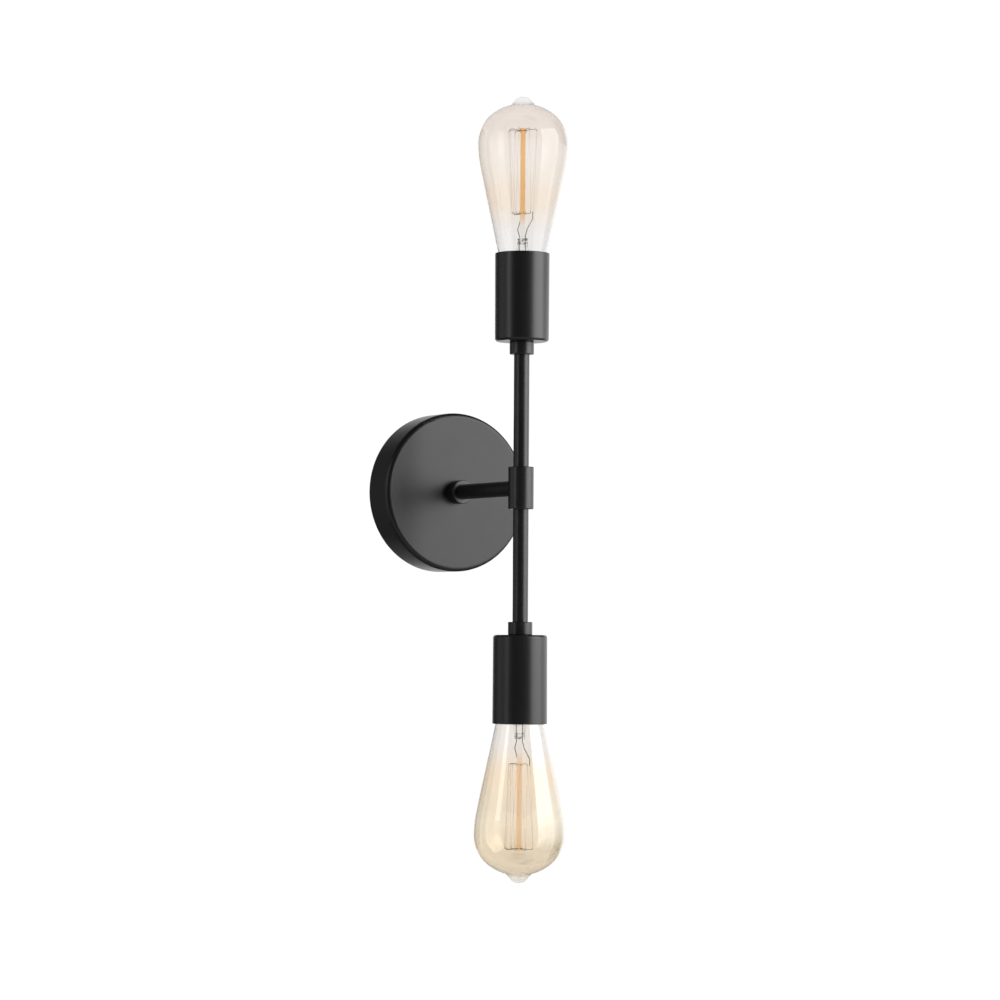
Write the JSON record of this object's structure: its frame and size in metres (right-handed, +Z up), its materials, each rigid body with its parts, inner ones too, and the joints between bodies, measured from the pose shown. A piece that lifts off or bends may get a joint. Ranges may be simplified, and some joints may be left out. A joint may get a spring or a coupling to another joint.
{
  "type": "wall sconce",
  "caption": "Black metal wall light: round canopy, one straight arm, upright tube with a cup socket at each end, and pear shaped amber filament bulbs pointing up and down.",
  "frame": {"origin": "where the arm's axis meets the wall, at the middle of the mounting strap's back", "axes": "+Y into the wall, so the light stands out towards -Y; +Z up along the column; +X to the viewer's right"},
  "size_m": [0.1142, 0.151, 0.547],
  "materials": {
    "black_coat": "satin black powder coat",
    "zinc_steel": "bright zinc plated steel",
    "green_screw": "green dyed steel",
    "tinned_copper": "tinned copper",
    "porcelain": "glazed white porcelain",
    "brass": "bare brass",
    "bronze": "spring bronze",
    "amber_glass": "clear glass with an amber tint towards the tip",
    "clear_glass": "clear glass",
    "lamp_base": "rolled brass lamp base",
    "lamp_insulator": "black glass",
    "solder": "solder faced contact",
    "nickel_wire": "nickel wire",
    "tungsten": "tungsten filament",
    "black_insulation": "black wire insulation",
    "white_insulation": "white wire insulation",
    "green_insulation": "green wire insulation",
    "cap_nylon": "natural nylon"
  },
  "bodies": {
    "fixture": {"mounting_strap": "zinc_steel", "ground_screw": "green_screw", "ground_lugs": "tinned_copper", "ground_wire": "green_insulation", "canopy": "black_coat", "canopy_weld_nuts": "zinc_steel", "canopy_set_screws": "black_coat", "arm_nut": "zinc_steel", "arm_lock_washer": "zinc_steel", "arm_collar": "black_coat", "arm_tube": "black_coat", "hub": "black_coat", "live_splice_cap": "cap_nylon", "neutral_splice_cap": "cap_nylon", "upper_rod": "black_coat", "upper_collar": "black_coat", "upper_cup": "black_coat", "upper_socket_bracket": "zinc_steel", "upper_bracket_screws": "zinc_steel", "upper_lampholder": "porcelain", "upper_screw_shell": "brass", "upper_live_strip": "brass", "upper_terminal_screws": "brass", "upper_live_wire": "black_insulation", "upper_neutral_wire": "white_insulation", "lower_rod": "black_coat", "lower_collar": "black_coat", "lower_cup": "black_coat", "lower_socket_bracket": "zinc_steel", "lower_bracket_screws": "zinc_steel", "lower_lampholder": "porcelain", "lower_screw_shell": "brass", "lower_live_strip": "brass", "lower_terminal_screws": "brass", "lower_live_wire": "black_insulation", "lower_neutral_wire": "white_insulation"},
    "upper_bulb_tip": {"upper_bulb_contact": "solder"},
    "upper_bulb": {"upper_bulb_glass": "amber_glass", "upper_bulb_base": "lamp_base", "upper_bulb_insulator": "lamp_insulator", "upper_bulb_stem": "clear_glass", "upper_bulb_leads": "nickel_wire", "upper_filament_supports": "nickel_wire", "upper_filament": "tungsten"},
    "upper_tab": {"upper_contact_tab": "bronze"},
    "lower_bulb_tip": {"lower_bulb_contact": "solder"},
    "lower_bulb": {"lower_bulb_glass": "amber_glass", "lower_bulb_base": "lamp_base", "lower_bulb_insulator": "lamp_insulator", "lower_bulb_stem": "clear_glass", "lower_bulb_leads": "nickel_wire", "lower_filament_supports": "nickel_wire", "lower_filament": "tungsten"},
    "lower_tab": {"lower_contact_tab": "bronze"}
  },
  "joints": [
    {"name": "upper_bulb_turn", "type": "hinge", "parent": "upper_bulb_tip", "child": "upper_bulb", "pos_m": [0, -0.119, 0.14], "axis": [0, 0, 1], "range_deg": [0, 3780]},
    {"name": "upper_bulb_rise", "type": "slide", "parent": "fixture", "child": "upper_bulb_tip", "axis": [0, 0, 1], "range_m": [0, 0.0382]},
    {"name": "upper_tab_press", "type": "hinge", "parent": "fixture", "child": "upper_tab", "pos_m": [0.0078, -0.119, 0.12165], "axis": [0, -1, 0], "range_deg": [0, 8], "stiffness_Nm_per_rad": 0.1, "springref_deg": -5.73},
    {"name": "lower_bulb_turn", "type": "hinge", "parent": "lower_bulb_tip", "child": "lower_bulb", "pos_m": [0, -0.119, -0.14], "axis": [0, 0, -1], "range_deg": [0, 3780]},
    {"name": "lower_bulb_rise", "type": "slide", "parent": "fixture", "child": "lower_bulb_tip", "axis": [0, 0, -1], "range_m": [0, 0.0382]},
    {"name": "lower_tab_press", "type": "hinge", "parent": "fixture", "child": "lower_tab", "pos_m": [0.0078, -0.119, -0.12165], "axis": [0, 1, 0], "range_deg": [0, 8], "stiffness_Nm_per_rad": 0.1, "springref_deg": -5.73}
  ],
  "couplings": [
    {"joint": "upper_bulb_rise", "follows": "upper_bulb_turn", "m_per_rad": 0.00057751},
    {"joint": "lower_bulb_rise", "follows": "lower_bulb_turn", "m_per_rad": 0.00057751}
  ]
}
